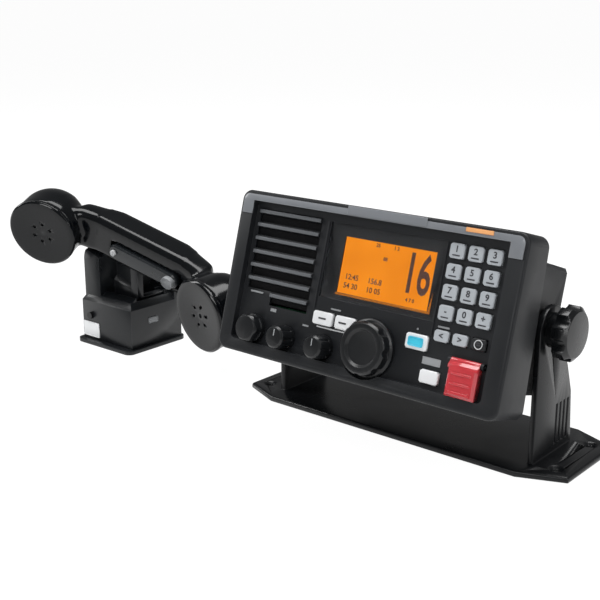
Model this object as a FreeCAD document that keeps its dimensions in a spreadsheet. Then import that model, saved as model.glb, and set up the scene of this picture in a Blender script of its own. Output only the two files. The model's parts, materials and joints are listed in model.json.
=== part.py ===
import FreeCAD, Part
import os
import re
import Sketcher

# Marine VHF radio: a fixed set tilted back in a screw-down bracket, and its
# telephone handset on a cradle beside it. X is the radio's right, Y is back,
# Z is up, and the origin is the middle of the bracket's underside.

Vector, Rotation, Placement = FreeCAD.Vector, FreeCAD.Rotation, FreeCAD.Placement
os.makedirs("parts", exist_ok=True)
doc = FreeCAD.newDocument("MarineRadio")

SIZES = {
    # Where the radio hangs in its bracket
    "tilt_back": 16, "pivot_setback": -12.5, "pivot_height": 88.4,
    "pivot_depth": 63.7, "pivot_rise": 1.0,
    # Front moulding
    "bezel_width": 220, "bezel_height": 110, "bezel_top_depth": 25, "bezel_bottom_depth": 33,
    "bezel_corner": 7, "bezel_edge": 2.5, "bezel_wall": 3, "seat_ledge": 3, "seat_depth": 18,
    "recess_depth": 5, "panel_thickness": 2.5, "recess_side": 11.5, "recess_top": 6.7,
    "recess_bottom": 8.5, "recess_corner": 3, "trim_thickness": 0.8, "trim_proud": 0.3,
    "trim_drop": 16, "panel_clearance": 0.25, "snug": 0.15,
    # Loudspeaker grille
    "grille_left": -94.8, "grille_right": -41.3, "grille_first": 42.1, "slat_pitch": 9.1,
    "slat_height": 3.8, "slat_proud": 1.6, "slat_count": 6, "short_slat_left": -73.8,
    "speaker_across": -68, "speaker_up": 14.8, "speaker_radius": 27, "speaker_depth": 22,
    "magnet_radius": 15,
    # Display
    "lens_width": 87.4, "lens_height": 48.8, "lens_across": 10.3, "lens_up": 18.4,
    "lens_thickness": 1.5, "window_width": 69.5, "window_height": 36.2, "window_across": 13.2,
    "window_up": 16.9, "ridge_across": -35.5, "ridge_width": 1, "ridge_proud": 0.6,
    "ridge_height": 57,
    # Keys
    "key_width": 10, "key_height": 9.2, "key_low_height": 6.9, "key_left": 62.7,
    "key_column_pitch": 12.85, "key_first_row": 38, "key_row_pitch": 12.5, "key_low_row": -13.5,
    "key_proud": 1.8, "key_flange": 0.8, "key_flange_gap": 0.1, "key_round": 1.2,
    "key_edge": 0.5,
    "soft_key_width": 15.9, "soft_key_height": 8.7, "soft_key_left_across": -26.4,
    "soft_key_right_across": -8.4, "soft_key_up": -19.8,
    "call_key_width": 15.5, "call_key_height": 9.5, "call_key_across": 46.3, "call_key_up": -20.2,
    "scan_key_width": 13.2, "scan_key_height": 8.2, "scan_key_across": 59.3, "scan_key_up": -39.3,
    # Rotary controls
    "dial_across": 12.9, "dial_up": -31.4, "dial_radius": 17.2, "dial_skirt_radius": 18.8,
    "dial_skirt_height": 2.2, "dial_height": 9.8, "dial_lobes": 8, "lobe_radius": 4.2,
    "lobe_bite": 1.3, "dial_dish_radius": 12.2, "dial_dish_depth": 1.6, "dial_stand_off": 0.4,
    "dial_boss_gap": 0.9, "knob_radius": 8, "knob_height": 12.6, "knob_up": -38,
    "volume_across": -54.8, "squelch_across": -22.9, "knob_flutes": 8, "flute_radius": 1.0,
    "shaft_radius": 3, "shaft_gap": 0.06, "bushing_radius": 4.2, "bushing_gap": 0.2,
    "control_body": 13, "control_bushing_proud": 0.0, "shaft_engagement": 6,
    # Microphone connector and its cap
    "socket_across": -82.6, "socket_up": -37, "socket_radius": 7.6, "socket_proud": 5,
    "socket_length": 16, "socket_flange": 1.2, "cap_radius": 9.4, "cap_length": 10.6,
    "connector_pins": 4, "cap_wall": 1.7, "cap_gap": 0.1, "cap_flats": 6,
    # Distress key and its cover
    "cover_across": 83.7, "cover_up": -36, "cover_width": 19.8, "cover_height": 21,
    "cover_depth": 6.2, "cover_wall": 1.2, "cover_edge": 1.6, "cover_stand_off": 0.4, "cover_pin_radius": 0.9,
    "cover_pin_gap": 0.06, "cover_pin_depth": 2.4, "cover_knuckle_radius": 2.0,
    "cover_ear": 2, "cover_ear_gap": 0.2, "distress_width": 12, "distress_height": 11,
    # Boards inside
    "board_depth": 13, "board_thickness": 1.6, "board_left": -97, "board_right": 97,
    "board_top": 46, "board_bottom": -47, "board_step": -35.5, "board_shelf": -19.5,
    "board_boss_radius": 2.2, "board_boss_left": -31.8, "board_boss_right": 54,
    "board_boss_high": 31, "board_boss_low": 3,
    # Die-cast chassis
    "seal_thickness": 1.5, "flange_thickness": 3, "flange_gap": 0.3, "chassis_width": 195,
    "chassis_low": -42.5, "chassis_high": 42.5, "chassis_rear_high": 39.5, "chassis_rear": 85,
    "chassis_edge": 3, "chassis_wall": 3, "chassis_fin_rear": 109.4, "fin_thickness": 2.2,
    "fin_pitch": 9, "fin_count": 14, "fin_low": -40, "fin_high": 36, "pivot_boss_radius": 8,
    "pivot_boss_length": 12, "thread_depth": 11,
    "case_screw_across": 100.6, "case_screw_up": 45.4, "case_screw_radius": 1.45,
    "case_screw_hole": 1.5, "case_boss_radius": 3.3, "case_head_radius": 2.7,
    "case_head_height": 2.2, "case_screw_length": 12,
    "post_radius": 3, "post_across": 78, "post_up": 26, "power_board_depth": 50,
    "antenna_across": 80, "antenna_up": 12, "antenna_radius": 7.9, "antenna_length": 15,
    "antenna_flange": 25, "gland_across": -80, "gland_up": -14, "gland_radius": 7,
    "gland_length": 14, "gland_hole_radius": 3.2,
    # Bracket
    "plate_width": 260, "plate_front": -44, "plate_back": 44, "plate_thickness": 4,
    "plate_clip_across": 30, "plate_clip_along": 12.6, "leg_thickness": 4, "leg_gap": 2.5,
    "leg_radius": 15.5, "leg_waist": 76, "leg_knee": 59, "leg_knee_back": 12,
    "leg_hip": 40, "leg_hip_back": 19, "leg_foot_back": 23, "leg_edge": 1.2,
    "groove_count": 4, "groove_pitch": 5, "groove_width": 2, "groove_depth": 1, "groove_top": 36,
    "groove_bottom": 9, "bracket_hole_across": 118, "bracket_hole_along": 24,
    "bracket_hole_radius": 2.75, "bracket_hole_sink": 5, "washer_radius": 11,
    "washer_clearance": 0.1,
    # Bracket knobs
    "grip_radius": 17.4, "grip_neck_radius": 11, "grip_neck_length": 6, "grip_length": 10.5,
    "grip_lobes": 7, "grip_bite_radius": 6, "grip_bite": 2.4,
    "stud_radius": 3.9, "stud_gap": 0.05, "leg_hole_radius": 4.2, "grip_stand_off": 0.1,
    # Cradle
    "cradle_across": -288.5, "cradle_along": -9, "cradle_width": 61, "cradle_length": 56,
    "cradle_base": 3, "cradle_rim": 41, "cradle_bevel": 5, "cradle_wall": 7, "cradle_floor": 3.5,
    "lip_depth": 11, "lip_rise": 3, "arm_width": 19, "arm_top": 86, "arm_front": -24,
    "arm_length": 36, "arm_round": 16, "saddle_gap": 0.3, "shelf_across": 13, "shelf_high": 57,
    "shelf_low": 50, "back_left": 66, "back_right": 54, "shelf_front": -8, "shelf_depth": 7, "shelf_bevel": 4, "saddle_across": 12,
    "saddle_depth": 7, "flange_reach": 3, "flange_front": 6, "upturn_height": 17,
    "cradle_screw_left": -6, "cradle_screw_right": 18, "cradle_screw_along": 8,
    "cradle_hole_radius": 2.2, "cradle_screw_radius": 2, "cradle_head_radius": 3.9,
    "cradle_head_height": 2, "lever_width": 8, "lever_thickness": 2.5, "lever_front": -12,
    "lever_across": 18, "lever_up": 40, "lever_pivot_along": 18, "lever_pin_radius": 1.5,
    "lever_pin_gap": 0.06, "lever_side_gap": 0.4, "lever_post": 2, "finger_length": 6,
    "switch_length": 12, "switch_width": 6, "switch_height": 10, "plunger_radius": 1,
    "plunger_reach": 3,
    # Handset
    "handset_across": -261.2, "handset_along": -16.8, "handset_up": 78.4, "handset_yaw": 10,
    "handset_drop": 17.1, "handset_roll": 14, "cup_spacing": 163, "cup_face": -34,
    "cup_radius": 29, "cup_barrel": 19, "cup_toe": 16, "cap_plate": 4, "cap_rim": 29.6,
    "cap_round": 1.5, "handle_high": 22.5, "handle_low": 13.5, "handle_back": 13,
    "handle_arch": 16, "handle_front": -11, "handle_reach": 66, "handle_waist": 34,
    "handle_round": 7, "split_plane": -1, "capsule_radius": 22, "capsule_depth": 12,
    "cap_holes": 6, "cap_hole_radius": 1.3, "cap_hole_circle": 8,
    "talk_bar_length": 70, "talk_bar_height": 13, "talk_bar_across": 9, "talk_bar_up": 1,
    "talk_bar_proud": 3.4, "talk_bar_travel": 2.4, "talk_bar_depth": 4.5, "talk_bar_gap": 0.3,
    "talk_bar_edge": 1.2,
    "inlet_radius": 5, "inlet_tip_radius": 3.6, "inlet_length": 16, "inlet_hole_radius": 2.2,
}

sheet = doc.addObject("Spreadsheet::Sheet", "Sizes")
for row, (alias, number) in enumerate(SIZES.items(), start=1):
    sheet.set(f"A{row}", str(number))
    sheet.setAlias(f"A{row}", alias)
doc.recompute()


def bound(text):
    """The text with each size's name pointing at its cell."""
    return re.sub(r"[a-z]\w*", lambda word: "Sizes." + word.group() if word.group() in SIZES
                  else word.group(), str(text))


def value(text):
    return float(sheet.evalExpression(bound(text)))


def tie(feature, **texts):
    for name, text in texts.items():
        feature.setExpression(name, bound(text))


def frame(across=0, along=0, up=0, yaw=0, pitch=0, roll=0):
    place = Vector(value(across), value(along), value(up))
    return Placement(place, Rotation(value(yaw), value(pitch), value(roll)))


# The radio's own frame has Y into the panel, and the handset's runs ear to mouth along X
RADIO = frame(0, "pivot_setback", "pivot_height", roll="-tilt_back").multiply(
    frame(0, "-pivot_depth", "-pivot_rise"))
HANDSET = frame("handset_across", "handset_along", "handset_up",
                "handset_yaw", "handset_drop", "handset_roll")
CRADLE = frame("cradle_across", "cradle_along")
GROUND = Placement()
ALONG = {"x": Rotation(Vector(0, 1, 0), 90), "y": Rotation(Vector(1, 0, 0), -90),
         "z": Rotation()}
bodies = []


def new_part(label, place):
    body = doc.addObject("PartDesign::Body", label)
    body.Label = label
    body.Placement = place
    bodies.append(body)
    return body


def put(feature, corner, turn=Rotation()):
    feature.Placement = Placement(Vector(), turn)
    for axis, text in zip("xyz", corner):
        feature.setExpression(f"Placement.Base.{axis}", bound(text))
    return feature


def block(body, size, corner, cut=False):
    """A box from its size and its lowest corner."""
    kind = "PartDesign::SubtractiveBox" if cut else "PartDesign::AdditiveBox"
    feature = body.newObject(kind, "Block")
    tie(feature, Length=size[0], Width=size[1], Height=size[2])
    return put(feature, corner)


def plate(body, width, height, across, up, front, depth, cut=False):
    """A slab facing the panel's front, from its middle, its front face and its depth."""
    return block(body, (width, depth, height),
                 (f"{across} - ({width}) / 2", front, f"{up} - ({height}) / 2"), cut)


def rod(body, radius, length, base, axis="y", cut=False):
    kind = "PartDesign::SubtractiveCylinder" if cut else "PartDesign::AdditiveCylinder"
    feature = body.newObject(kind, "Rod")
    tie(feature, Radius=radius, Height=length)
    return put(feature, base, ALONG[axis])


def origin(body, role):
    return next(item for item in body.Origin.OriginFeatures if item.Role == role)


def sketch(body, plane, corners, offset="0"):
    """A closed outline of straight runs, each corner tied to the sheet."""
    drawing = body.newObject("Sketcher::SketchObject", "Outline")
    drawing.AttachmentSupport = (origin(body, plane), "")
    drawing.MapMode = "FlatFace"
    tie(drawing, **{"AttachmentOffset.Base.z": offset})
    spots = [Vector(value(across), value(up), 0) for across, up in corners]
    count = len(spots)
    drawing.addGeometry([Part.LineSegment(spots[i], spots[(i + 1) % count])
                         for i in range(count)], False)
    for i, (across, up) in enumerate(corners):
        drawing.addConstraint(Sketcher.Constraint("Coincident", i, 2, (i + 1) % count, 1))
        for kind, text, number in (("DistanceX", across, spots[i].x),
                                   ("DistanceY", up, spots[i].y)):
            index = drawing.addConstraint(Sketcher.Constraint(kind, -1, 1, i, 1, number))
            drawing.setExpression(f"Constraints[{index}]", bound(text))
    return drawing


def pad(body, plane, corners, length, offset="0", cut=False, middle=True):
    """An outline given a thickness, to both sides of its plane or along its normal."""
    drawing = sketch(body, plane, corners, offset)
    feature = body.newObject("PartDesign::Pocket" if cut else "PartDesign::Pad", "Prism")
    feature.Profile = drawing
    feature.Midplane = middle
    feature.Reversed = cut and not middle
    tie(feature, Length=length)
    return feature


def turn(body, profile, cut=False, angle="360"):
    """A (depth, radius) outline spun about the body's own Y axis."""
    drawing = sketch(body, "YZ_Plane", profile)
    feature = body.newObject("PartDesign::Groove" if cut else "PartDesign::Revolution", "Turned")
    feature.Profile = drawing
    feature.ReferenceAxis = (drawing, ["H_Axis"])
    tie(feature, Angle=angle)
    return feature


def ring(body, feature, count, axis="Y_Axis"):
    pattern = body.newObject("PartDesign::PolarPattern", "Ring")
    pattern.Originals = [feature]
    pattern.Axis = (origin(body, axis), [""])
    pattern.Angle = 360
    tie(pattern, Occurrences=count)
    body.Tip = pattern
    return pattern


def row(body, feature, axis, count, length, back=False):
    pattern = body.newObject("PartDesign::LinearPattern", "Row")
    pattern.Originals = [feature]
    pattern.Direction = (origin(body, axis), [""])
    pattern.Reversed = back
    tie(pattern, Length=length, Occurrences=count)
    body.Tip = pattern
    return pattern


def round_off(body, radius, wanted, bevel=False):
    """A fillet, or a bevel, on the edges whose middle and direction pass the test."""
    doc.recompute()
    tip = body.Tip
    names = []
    for index, edge in enumerate(tip.Shape.Edges, start=1):
        box = edge.BoundBox
        runs = [axis for axis, span in zip("xyz", (box.XLength, box.YLength, box.ZLength))
                if span > 0.01]
        if wanted(box.Center, "".join(runs)):
            names.append(f"Edge{index}")
    feature = body.newObject("PartDesign::Chamfer" if bevel else "PartDesign::Fillet", "Edges")
    feature.Base = (tip, names)
    tie(feature, **{"Size" if bevel else "Radius": radius})
    return feature


def near(number, text):
    return abs(number - value(text)) < 0.05


# Front moulding: rounded frame, sunk panel, louvres, key openings and screw bosses
back_of_panel = "(recess_depth + panel_thickness)"
cavity_width = "(bezel_width - 2 * bezel_wall - 2 * seat_ledge)"
cavity_height = "(bezel_height - 2 * bezel_wall - 2 * seat_ledge)"
seat_width = "(bezel_width - 2 * bezel_wall)"
seat_height = "(bezel_height - 2 * bezel_wall)"
recess_height = "(bezel_height - recess_top - recess_bottom)"
recess_up = "(recess_bottom - recess_top) / 2"
trim_low = "(bezel_height / 2 - trim_drop)"
trim_rebate = "(trim_thickness - trim_proud)"
board_bosses = [(across, up) for across in ("board_boss_left", "board_boss_right")
                for up in ("board_boss_high", "board_boss_low")]
case_screws = [(f"{side} * case_screw_across", f"{level} * case_screw_up")
               for side in (-1, 1) for level in (-1, 1)]

bezel = new_part("front_bezel", RADIO)
plate(bezel, "bezel_width", "bezel_height", "0", "0", "0", "bezel_bottom_depth")
round_off(bezel, "bezel_corner", lambda c, runs: runs == "y")
round_off(bezel, "bezel_edge", lambda c, runs: near(c.y, "0"))
pad(bezel, "YZ_Plane", [("bezel_top_depth", "bezel_height / 2"),
                        ("bezel_bottom_depth", "-bezel_height / 2"),
                        ("bezel_bottom_depth + 1", "-bezel_height / 2"),
                        ("bezel_bottom_depth + 1", "bezel_height / 2")],
    "bezel_width", cut=True)
plate(bezel, "bezel_width - 2 * recess_side", recess_height, "0", recess_up,
      "0", "recess_depth", cut=True)
round_off(bezel, "recess_corner", lambda c, runs: runs == "y" and near(c.y, "recess_depth / 2"))
plate(bezel, cavity_width, cavity_height, "0", "0", back_of_panel, "bezel_bottom_depth", cut=True)
plate(bezel, seat_width, seat_height, "0", "0", "seat_depth", "bezel_bottom_depth", cut=True)

# The silver trim's rebate goes along the top border and a little way down each side
block(bezel, ("bezel_width", trim_rebate, "recess_top"),
      ("-bezel_width / 2", "0", "bezel_height / 2 - recess_top"), cut=True)
for side in ("-bezel_width / 2", "bezel_width / 2 - recess_side"):
    block(bezel, ("recess_side", trim_rebate, "trim_drop - recess_top"),
          (side, "0", trim_low), cut=True)

grille_top = "(grille_first - slat_height / 2)"
grille_drop = "(slat_pitch * slat_count - slat_height)"
block(bezel, ("grille_right - grille_left", "panel_thickness", grille_drop),
      ("grille_left", "recess_depth", f"{grille_top} - {grille_drop}"), cut=True)
block(bezel, ("grille_right - short_slat_left", "panel_thickness", "slat_pitch - slat_height"),
      ("short_slat_left", "recess_depth", f"{grille_top} - {grille_drop} - slat_pitch"), cut=True)


def slat(left, drop):
    """A louvre blade: blunt in front, sloping back and up behind."""
    middle = f"(grille_first - {drop})"
    front, rear = "(recess_depth - slat_proud)", back_of_panel
    return pad(bezel, "YZ_Plane",
               [(front, f"{middle} - slat_height * 0.3"), (front, f"{middle} + slat_height * 0.12"),
                ("recess_depth", f"{middle} + slat_height / 2"),
                (rear, f"{middle} + slat_height / 2"), (rear, f"{middle} - slat_height / 2"),
                ("recess_depth", f"{middle} - slat_height / 2")],
               f"grille_right - ({left})", offset=f"({left})", middle=False)


row(bezel, slat("grille_left", "0"), "Z_Axis", "slat_count",
    "slat_pitch * (slat_count - 1)", back=True)
slat("short_slat_left", "slat_pitch * slat_count")

for across in ("ridge_across", "lens_across + lens_width / 2 + ridge_width"):
    plate(bezel, "ridge_width", "ridge_height", across, "key_first_row + key_height / 2 - "
          "ridge_height / 2", "recess_depth - ridge_proud", "ridge_proud")
plate(bezel, "lens_width + 2 * snug", "lens_height + 2 * snug", "lens_across", "lens_up",
      "recess_depth", "lens_thickness", cut=True)
plate(bezel, "window_width", "window_height", "window_across", "window_up",
      "recess_depth", "panel_thickness", cut=True)

number_keys = []
for line in range(5):
    for column in range(3):
        low = line == 4
        number_keys.append((f"key_{3 * line + column + 1}", "key_width",
                            "key_low_height" if low else "key_height",
                            f"(key_left + {column} * key_column_pitch)",
                            "key_low_row" if low else f"(key_first_row - {line} * key_row_pitch)"))
keys = number_keys + [
    ("soft_key_left", "soft_key_width", "soft_key_height", "soft_key_left_across", "soft_key_up"),
    ("soft_key_right", "soft_key_width", "soft_key_height", "soft_key_right_across",
     "soft_key_up"),
    ("call_key", "call_key_width", "call_key_height", "call_key_across", "call_key_up"),
    ("scan_key", "scan_key_width", "scan_key_height", "scan_key_across", "scan_key_up"),
    ("distress_key", "distress_width", "distress_height", "cover_across", "cover_up")]
for label, width, height, across, up in keys:
    plate(bezel, f"{width} + 2 * panel_clearance", f"{height} + 2 * panel_clearance",
          across, up, "recess_depth", "panel_thickness", cut=True)

boss_radius = "(dial_skirt_radius + dial_boss_gap)"
rod(bezel, boss_radius, "recess_depth", ("dial_across", "0", "dial_up"), cut=True)
rod(bezel, boss_radius, "panel_thickness", ("dial_across", "recess_depth", "dial_up"))
rod(bezel, "bushing_radius + bushing_gap", "panel_thickness",
    ("dial_across", "recess_depth", "dial_up"), cut=True)
for across in ("volume_across", "squelch_across"):
    rod(bezel, "bushing_radius + bushing_gap", "panel_thickness",
        (across, "recess_depth", "knob_up"), cut=True)
rod(bezel, "socket_radius + snug", "panel_thickness",
    ("socket_across", "recess_depth", "socket_up"), cut=True)

for across, up in board_bosses:
    rod(bezel, "board_boss_radius", f"board_depth - {back_of_panel}",
        (across, back_of_panel, up))
for across, up in case_screws:
    rod(bezel, "case_boss_radius", f"seat_depth + seal_thickness - {back_of_panel}",
        (across, back_of_panel, up))
    rod(bezel, "case_screw_hole", "case_screw_length",
        (across, "seat_depth + seal_thickness - case_screw_length + 2", up), cut=True)

# Ears that carry the distress cover's pin
cover_top = "(cover_up + cover_height / 2)"
for side in (-1, 1):
    ear_across = f"(cover_across + {side} * (cover_width / 2 + cover_ear_gap + cover_ear / 2))"
    plate(bezel, "cover_ear", "2 * cover_knuckle_radius", ear_across, cover_top,
          "cover_pin_depth", "recess_depth - cover_pin_depth")
    rod(bezel, "cover_knuckle_radius", "cover_ear",
        (f"{ear_across} - cover_ear / 2", "cover_pin_depth", cover_top), "x")
    rod(bezel, "cover_pin_radius", "cover_ear",
        (f"{ear_across} - cover_ear / 2", "cover_pin_depth", cover_top), "x", cut=True)

# Silver trim seated in the rebate
trim = new_part("top_trim", RADIO)
plate(trim, "bezel_width - 2 * bezel_edge", "bezel_height - 2 * bezel_edge", "0", "0",
      "-trim_proud", "trim_thickness")
round_off(trim, "bezel_corner - bezel_edge", lambda c, runs: runs == "y")
block(trim, ("bezel_width", "trim_thickness", f"bezel_height / 2 + {trim_low} + panel_clearance"),
      ("-bezel_width / 2", "-trim_proud", "-bezel_height / 2"), cut=True)
block(trim, ("bezel_width - 2 * recess_side", "trim_thickness", "bezel_height - recess_top"),
      ("recess_side - bezel_width / 2", "-trim_proud", "-bezel_height / 2"), cut=True)

# Display window, panel behind it and the board that carries keys and controls
lens = new_part("display_lens", RADIO)
plate(lens, "lens_width", "lens_height", "lens_across", "lens_up", "recess_depth",
      "lens_thickness")
round_off(lens, "key_edge", lambda c, runs: near(c.y, "recess_depth"), bevel=True)

lcd = new_part("lcd_panel", RADIO)
plate(lcd, "window_width + 3", "window_height + 3", "window_across", "window_up",
      back_of_panel, f"board_depth - {back_of_panel}")

board = new_part("panel_circuit_board", RADIO)
pad(board, "XZ_Plane", [("board_left", "board_bottom"), ("board_right", "board_bottom"),
                        ("board_right", "board_top"), ("board_step", "board_top"),
                        ("board_step", "board_shelf"), ("board_left", "board_shelf")],
    "board_thickness", offset="-board_depth - board_thickness", middle=False)
rod(board, "socket_radius + 1", "board_thickness", ("socket_across", "board_depth", "socket_up"),
    cut=True)

speaker = new_part("loudspeaker", RADIO.multiply(frame("speaker_across", 0, "speaker_up")))
turn(speaker, [(back_of_panel, "0.9 * speaker_radius"), (back_of_panel, "speaker_radius"),
               (f"{back_of_panel} + speaker_depth", "magnet_radius"),
               (f"{back_of_panel} + speaker_depth", "0"),
               (f"{back_of_panel} + 0.35 * speaker_depth", "0")])

# Keys, each held behind the panel by a flange
for label, width, height, across, up in keys:
    key = new_part(label, RADIO)
    proud = "1" if label == "distress_key" else "key_proud"
    plate(key, width, height, across, up, f"recess_depth - {proud}",
          f"panel_thickness + key_flange_gap + key_flange + {proud}")
    round_off(key, "key_round", lambda c, runs: runs == "y", bevel=True)
    front = f"recess_depth - {proud}"
    round_off(key, "key_edge", lambda c, runs: near(c.y, front), bevel=True)
    plate(key, f"{width} + 2 * key_flange", f"{height} + 2 * key_flange", across, up,
          f"{back_of_panel} + key_flange_gap", "key_flange")
    if label == "soft_key_right":
        rod(key, f"{boss_radius} + panel_clearance", "3 * recess_depth",
            ("dial_across", "0", "dial_up"), cut=True)

# Channel dial, the two small knobs, their shafts and the controls on the board
dial_face = "(recess_depth - dial_stand_off - dial_height)"
dial = new_part("channel_dial", RADIO.multiply(frame("dial_across", 0, "dial_up")))
turn(dial, [("recess_depth - dial_stand_off", "0"),
            ("recess_depth - dial_stand_off", "dial_skirt_radius"),
            ("recess_depth - dial_stand_off - dial_skirt_height", "dial_skirt_radius"),
            ("recess_depth - dial_stand_off - dial_skirt_height - 0.8", "dial_radius"),
            (f"{dial_face} + 1.5", "dial_radius - 0.4"), (dial_face, "dial_radius - 1.8"),
            (dial_face, "dial_dish_radius"),
            (f"{dial_face} + dial_dish_depth", "dial_dish_radius - dial_dish_depth"),
            (f"{dial_face} + dial_dish_depth", "0")])
bite = rod(dial, "lobe_radius", "dial_height - dial_skirt_height - 0.8",
           ("0", f"{dial_face}", "dial_radius + lobe_radius - lobe_bite"), cut=True)
ring(dial, bite, "dial_lobes")

knob_face = "(recess_depth - dial_stand_off - knob_height)"
for label, across in (("volume_knob", "volume_across"), ("squelch_knob", "squelch_across")):
    knob = new_part(label, RADIO.multiply(frame(across, 0, "knob_up")))
    turn(knob, [("recess_depth - dial_stand_off", "0"),
                ("recess_depth - dial_stand_off", "knob_radius"),
                (f"{knob_face} + 1.2", "knob_radius - 0.6"), (knob_face, "knob_radius - 1.8"),
                (knob_face, "0")])
    flute = rod(knob, "flute_radius", "knob_height - 2",
                ("0", knob_face, "knob_radius + 0.1 * flute_radius"), cut=True)
    ring(knob, flute, "knob_flutes")

controls = [("dial_shaft", "channel_dial", "dial_across", "dial_up"),
            ("volume_shaft", "volume_knob", "volume_across", "knob_up"),
            ("squelch_shaft", "squelch_knob", "squelch_across", "knob_up")]
for label, knob_label, across, up in controls:
    knob = next(body for body in bodies if body.Label == knob_label)
    start = "(recess_depth - dial_stand_off - shaft_engagement)"
    rod(knob, "shaft_radius", "shaft_engagement", ("0", start, "0"), cut=True)
    shaft = new_part(label, RADIO.multiply(frame(across, 0, up)))
    rod(shaft, "shaft_radius", f"board_depth - 1 - {start}", ("0", start, "0"))


# The three controls share one node, as identical bodies soldered to the board
def control_solid(across, up):
    size, start = value("control_body"), value(back_of_panel)
    depth = value("board_depth") - start
    cube = Part.makeBox(size, depth - 0.3, size, Vector(-size / 2, start + 0.3, -size / 2))
    axis = Vector(0, 1, 0)
    collar = value("recess_depth - dial_stand_off + 0.2")
    bushing = Part.makeCylinder(value("bushing_radius"), start + 1 - collar,
                                Vector(0, collar, 0), axis)
    bore = Part.makeCylinder(value("shaft_radius + shaft_gap"), start + depth - 0.9 - collar,
                             Vector(0, collar, 0), axis)
    solid = cube.fuse(bushing).cut(bore)
    solid.translate(Vector(value(across), 0, value(up)))
    return solid


rotary = doc.addObject("Part::Feature", "rotary_controls")
rotary.Shape = Part.makeCompound([control_solid(across, up) for _, _, across, up in controls])
rotary.Placement = RADIO
bodies.append(rotary)

# Microphone connector and its six-sided cap
connector = new_part("mic_connector", RADIO.multiply(frame("socket_across", 0, "socket_up")))
socket_face = "(recess_depth - socket_proud)"
turn(connector, [(socket_face, "0"), (socket_face, "socket_radius"),
                 (back_of_panel, "socket_radius"),
                 (back_of_panel, "socket_radius + 2"),
                 (f"{back_of_panel} + socket_flange", "socket_radius + 2"),
                 (f"{back_of_panel} + socket_flange", "socket_radius"),
                 (f"{socket_face} + socket_length", "socket_radius"),
                 (f"{socket_face} + socket_length", "0")])
rod(connector, "socket_radius - 1.5", "socket_proud", ("0", socket_face, "0"), cut=True)
pin = rod(connector, "0.7", "socket_proud - 0.8", ("0", f"{socket_face} + 0.8", "3.6"))
ring(connector, pin, "connector_pins")

cap = new_part("mic_connector_cap", RADIO.multiply(frame("socket_across", 0, "socket_up")))
cap_face = "(recess_depth - cap_length)"
turn(cap, [("recess_depth - 0.2", "socket_radius + cap_gap"), ("recess_depth - 0.2", "cap_radius"),
           (f"{cap_face} + 1.6", "cap_radius"), (cap_face, "cap_radius - 1.6"),
           (cap_face, "0"), (f"{socket_face} - 0.3", "0"),
           (f"{socket_face} - 0.3", "socket_radius + cap_gap")])
flat = block(cap, ("2 * cap_radius", "cap_length - 4", "2"),
             ("-cap_radius", cap_face, "cap_radius - 0.9"), cut=True)
ring(cap, flat, "cap_flats")

# Hinged distress cover: a shallow hood on a pin across its top
cover = new_part("distress_cover", RADIO)
cover_back = "(recess_depth - cover_stand_off)"
cover_front = "(recess_depth - cover_stand_off - cover_depth)"
plate(cover, "cover_width", "cover_height", "cover_across", "cover_up", cover_front,
      "cover_depth")
round_off(cover, "cover_edge", lambda c, runs: near(c.y, cover_front), bevel=True)
plate(cover, "cover_width - 2 * cover_wall", "cover_height - 2 * cover_wall", "cover_across",
      "cover_up", f"{cover_front} + cover_wall", "cover_depth", cut=True)
block(cover, ("cover_width", "cover_depth + 1", "2 * cover_knuckle_radius"),
      ("cover_across - cover_width / 2", cover_front, f"{cover_top} - cover_knuckle_radius"),
      cut=True)
pad(cover, "YZ_Plane", [(cover_front, f"{cover_top} - 2 * cover_knuckle_radius"),
                        (cover_front, f"{cover_top} - cover_knuckle_radius"),
                        (f"cover_pin_depth", f"{cover_top} + 0.8 * cover_knuckle_radius"),
                        (f"cover_pin_depth + 0.6", f"{cover_top} - 0.5 * cover_knuckle_radius"),
                        (f"{cover_front} + cover_wall",
                         f"{cover_top} - 2 * cover_knuckle_radius")],
    "cover_width", offset="cover_across - cover_width / 2", middle=False)
rod(cover, "cover_knuckle_radius", "cover_width",
    ("cover_across - cover_width / 2", "cover_pin_depth", cover_top), "x")
rod(cover, "cover_pin_radius + cover_pin_gap", "cover_width",
    ("cover_across - cover_width / 2", "cover_pin_depth", cover_top), "x", cut=True)

hinge_pin = new_part("distress_hinge_pin", RADIO)
rod(hinge_pin, "cover_pin_radius", "cover_width + 2 * cover_ear_gap + 2 * cover_ear",
    ("cover_across - cover_width / 2 - cover_ear_gap - cover_ear", "cover_pin_depth", cover_top),
    "x")

# Die-cast chassis: flange, tapered box open at the front, rear fins and pivot bosses
flange_front = "(seat_depth + seal_thickness)"
chassis = new_part("chassis", RADIO)
pad(chassis, "YZ_Plane", [(flange_front, "chassis_low"), ("chassis_rear", "chassis_low"),
                          ("chassis_rear", "chassis_rear_high"), (flange_front, "chassis_high")],
    "chassis_width")
round_off(chassis, "chassis_edge", lambda c, runs: not near(c.y, flange_front)
          and abs(c.x) > value("chassis_width / 2 - 1"), bevel=True)
plate(chassis, f"{seat_width} - 2 * flange_gap", f"{seat_height} - 2 * flange_gap", "0", "0",
      flange_front, "flange_thickness")
block(chassis, ("chassis_width - 2 * chassis_wall", f"chassis_rear - chassis_wall - {flange_front}",
                "chassis_rear_high - chassis_low - 2 * chassis_wall"),
      ("chassis_wall - chassis_width / 2", flange_front, "chassis_low + chassis_wall"), cut=True)
for side in (-1, 1):
    start = f"({side} * (chassis_width / 2 - pivot_boss_length / 2) - pivot_boss_length / 2)"
    rod(chassis, "pivot_boss_radius", "pivot_boss_length", (start, "pivot_depth", "pivot_rise"), "x")
    mouth = f"({side} * (chassis_width / 2 - thread_depth / 2) - thread_depth / 2)"
    rod(chassis, "stud_radius + stud_gap", "thread_depth", (mouth, "pivot_depth", "pivot_rise"),
        "x", cut=True)
first_fin = "(-fin_pitch * (fin_count - 1) / 2 - fin_thickness / 2)"
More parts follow.
